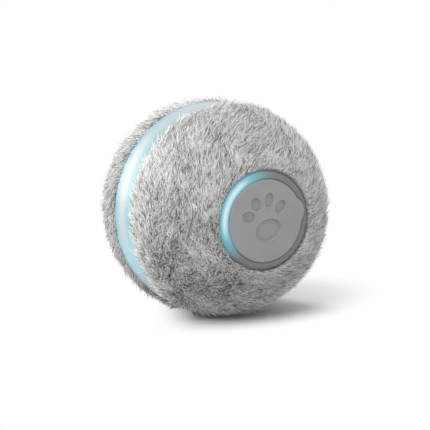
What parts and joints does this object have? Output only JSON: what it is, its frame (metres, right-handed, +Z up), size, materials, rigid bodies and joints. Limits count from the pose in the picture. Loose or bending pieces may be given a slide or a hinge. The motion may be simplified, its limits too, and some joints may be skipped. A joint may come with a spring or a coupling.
{
  "type": "self rolling cat ball",
  "caption": "Self rolling cat ball: two plush half shells joined by a light band, with soft end plugs and a weighted core that hangs inside and drives the shells through gears.",
  "frame": {"origin": "middle of the ball, on the axle halfway between the two ends", "axes": "+Y along the axle away from the charging end, +Z up"},
  "size_m": [0.0414, 0.0396, 0.0414],
  "materials": {
    "plush": "long pile plush, grey with darker streaks",
    "shell": "white moulded plastic",
    "clear_band": "frosted clear plastic, lit from inside",
    "glow_ring": "frosted clear plastic, lit from inside",
    "silicone": "matt grey silicone",
    "seal": "black rubber",
    "bearing": "cream low friction plastic",
    "steel": "plain steel",
    "brass": "plain brass",
    "gear": "white moulded plastic",
    "core": "dark moulded plastic",
    "motor": "drawn steel can",
    "motor_cap": "white plastic",
    "battery": "silver pouch",
    "foam": "black foam",
    "board": "green solder mask",
    "lamp": "white lamp body",
    "chip": "black moulding",
    "port": "plated steel",
    "port_tongue": "black plastic",
    "wire": "insulated leads",
    "button": "grey plastic"
  },
  "bodies": {
    "ball": {"front_fur_cover": "plush", "back_fur_cover": "plush", "front_shell": "shell", "back_shell": "shell", "light_band": "clear_band", "front_rim_gasket": "seal", "back_rim_gasket": "seal", "front_glow_ring": "glow_ring", "back_glow_ring": "glow_ring", "front_bearing": "bearing", "back_bearing": "brass", "thrust_washer": "bearing", "drive_gear": "gear", "drive_gear_screws": "steel"},
    "core": {"core_base": "core", "core_cover": "core", "core_screws": "steel", "axle_pin": "steel", "axle_washer": "steel", "axle_clip": "steel", "gear_pins": "steel", "motor_can": "motor", "motor_end_cap": "motor_cap", "motor_leads": "wire", "battery_cell": "battery", "battery_pad": "foam", "battery_leads": "wire", "counterweight": "steel", "main_board": "board", "led_lamps": "lamp", "board_chips": "chip", "charging_port": "port", "port_tongue": "port_tongue", "power_switch": "chip"},
    "motor_rotor": {"motor_pinion": "brass", "motor_shaft": "steel"},
    "first_gear": {"first_gear": "gear"},
    "second_gear": {"second_gear": "gear"},
    "power_button": {"power_button": "button", "switch_plunger": "button"},
    "front_plug": {"front_plug": "silicone"},
    "back_plug": {"back_plug": "silicone"}
  },
  "joints": [
    {"name": "core_swing", "type": "hinge", "parent": "ball", "child": "core", "pos_m": [0, 0, 0], "axis": [0, 1, 0], "continuous": true},
    {"name": "motor_spin", "type": "hinge", "parent": "core", "child": "motor_rotor", "pos_m": [0.00488, 0.00835, -0.00357], "axis": [0, 1, 0], "continuous": true},
    {"name": "first_gear_spin", "type": "hinge", "parent": "core", "child": "first_gear", "pos_m": [0.0014, 0.0089, -0.00845], "axis": [0, 1, 0], "continuous": true},
    {"name": "second_gear_spin", "type": "hinge", "parent": "core", "child": "second_gear", "pos_m": [-0.00453, 0.0104, -0.00936], "axis": [0, 1, 0], "continuous": true},
    {"name": "button_press", "type": "slide", "parent": "core", "child": "power_button", "axis": [0, 1, 0], "range_m": [0, 0.0003], "stiffness_N_per_m": 600},
    {"name": "front_plug_pull", "type": "slide", "parent": "ball", "child": "front_plug", "axis": [0, -1, 0], "range_m": [0, 0.012]},
    {"name": "back_plug_pull", "type": "slide", "parent": "ball", "child": "back_plug", "axis": [0, 1, 0], "range_m": [0, 0.012]}
  ],
  "couplings": [
    {"joint": "second_gear_spin", "follows": "core_swing", "ratio": 3.3333},
    {"joint": "first_gear_spin", "follows": "core_swing", "ratio": -10},
    {"joint": "motor_spin", "follows": "core_swing", "ratio": 30}
  ]
}
